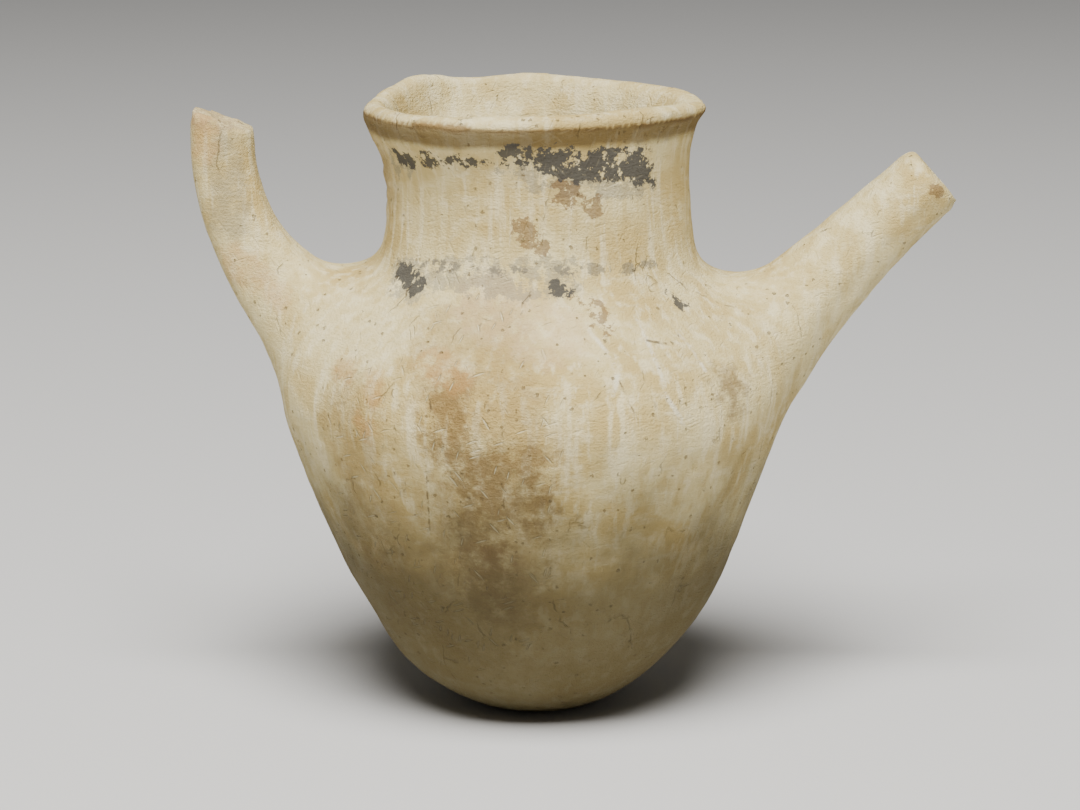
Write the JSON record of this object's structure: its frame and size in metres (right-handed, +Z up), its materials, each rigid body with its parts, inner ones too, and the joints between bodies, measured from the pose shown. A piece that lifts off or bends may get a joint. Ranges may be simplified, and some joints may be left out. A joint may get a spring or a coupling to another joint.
{
  "type": "spouted cup",
  "caption": "Hand-made pottery cup with an egg-shaped body, wide neck, long upward spout and the broken stub of a high handle.",
  "frame": {"origin": "centre of the flat underside that the cup stands on", "axes": "+Z up, +X towards the spout, +Y to the back with the handle's stub on -X"},
  "size_m": [0.1889, 0.123, 0.1559],
  "materials": {
    "fired_clay": "matt buff clay with a worn cream slip and flaked dark paint"
  },
  "bodies": {
    "root": {"spouted_cup": "fired_clay"}
  },
  "joints": []
}
